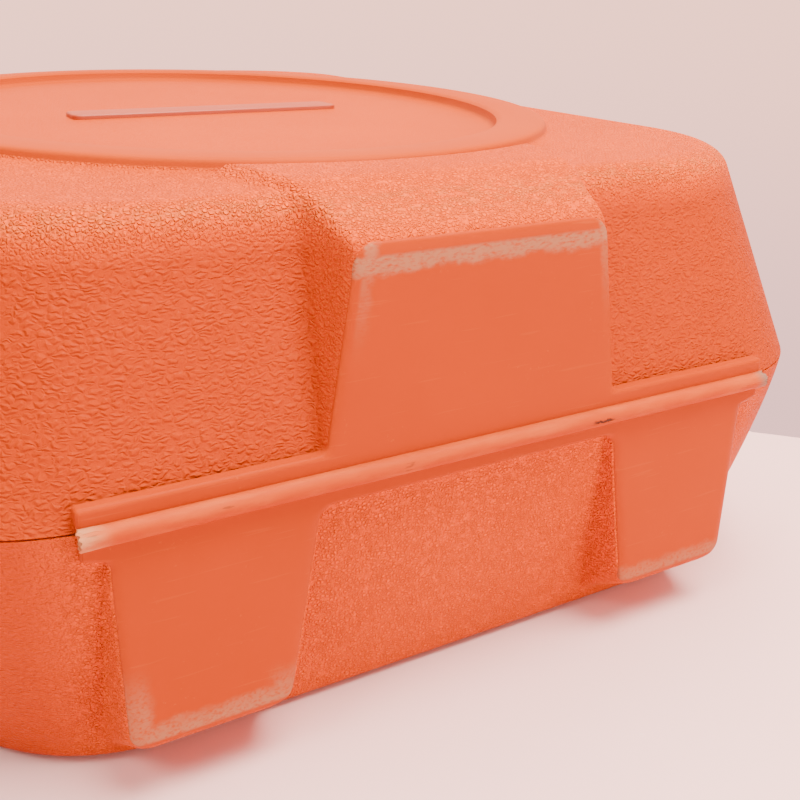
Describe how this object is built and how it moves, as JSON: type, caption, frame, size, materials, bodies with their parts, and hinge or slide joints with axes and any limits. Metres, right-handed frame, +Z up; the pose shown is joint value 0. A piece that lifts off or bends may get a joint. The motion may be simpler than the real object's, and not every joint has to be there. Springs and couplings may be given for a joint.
{
  "type": "power tool carrying case",
  "caption": "Blow-moulded carrying case for a large angle grinder, with two drafted halves on a living hinge, foot pads, a swinging handle and snap latches.",
  "frame": {"origin": "middle of the footprint, on the surface that the base stands on", "axes": "+X along the hinge, +Y from the hinge side to the handle side, +Z up"},
  "size_m": [0.342, 0.5036, 0.1702],
  "materials": {
    "grained_orange": "leather-grained blow-moulded polyethylene",
    "smooth_orange": "smooth satin polyethylene, scuffed at its edges",
    "hinge_orange": "smooth polyethylene, stress-whitened",
    "inner_orange": "smooth moulded polyethylene",
    "black_plastic": "fine-textured moulded plastic",
    "soft_grip": "ribbed soft sleeve",
    "steel": "zinc-plated"
  },
  "bodies": {
    "base": {"base_outer_shell": "grained_orange", "base_inner_tray": "inner_orange", "nest_channel": "inner_orange", "nest_handle_pocket": "inner_orange", "nest_spanner_pocket": "inner_orange", "foot_left": "smooth_orange", "foot_right": "smooth_orange", "hinge_bead": "hinge_orange", "handle_bracket_left": "black_plastic", "handle_bracket_right": "black_plastic", "handle_pin_left": "steel", "handle_pin_right": "steel", "latch_bracket_left": "black_plastic", "latch_bracket_right": "black_plastic", "latch_pin_left": "steel", "latch_pin_right": "steel", "base_rivets": "steel"},
    "lid": {"lid_outer_shell": "grained_orange", "lid_inner_liner": "inner_orange", "lid_spine_pad": "smooth_orange", "name_plaque": "smooth_orange", "latch_keeper_left": "black_plastic", "latch_keeper_right": "black_plastic", "lid_rivets": "steel"},
    "handle": {"handle_bow": "black_plastic", "handle_grip": "soft_grip"},
    "left_latch": {"latch_lever_left": "black_plastic"},
    "right_latch": {"latch_lever_right": "black_plastic"}
  },
  "joints": [
    {"name": "lid_hinge", "type": "hinge", "parent": "base", "child": "lid", "pos_m": [0, -0.25265, 0.0916], "axis": [1, 0, 0], "range_deg": [0, 179]},
    {"name": "handle_pivot", "type": "hinge", "parent": "base", "child": "handle", "pos_m": [0, 0.24185, 0.0756], "axis": [1, 0, 0], "range_deg": [0, 90]},
    {"name": "left_latch_pivot", "type": "hinge", "parent": "base", "child": "left_latch", "pos_m": [-0.09, 0.24285, 0.0616], "axis": [-1, 0, 0], "range_deg": [0, 110]},
    {"name": "right_latch_pivot", "type": "hinge", "parent": "base", "child": "right_latch", "pos_m": [0.09, 0.24285, 0.0616], "axis": [-1, 0, 0], "range_deg": [0, 110]}
  ]
}
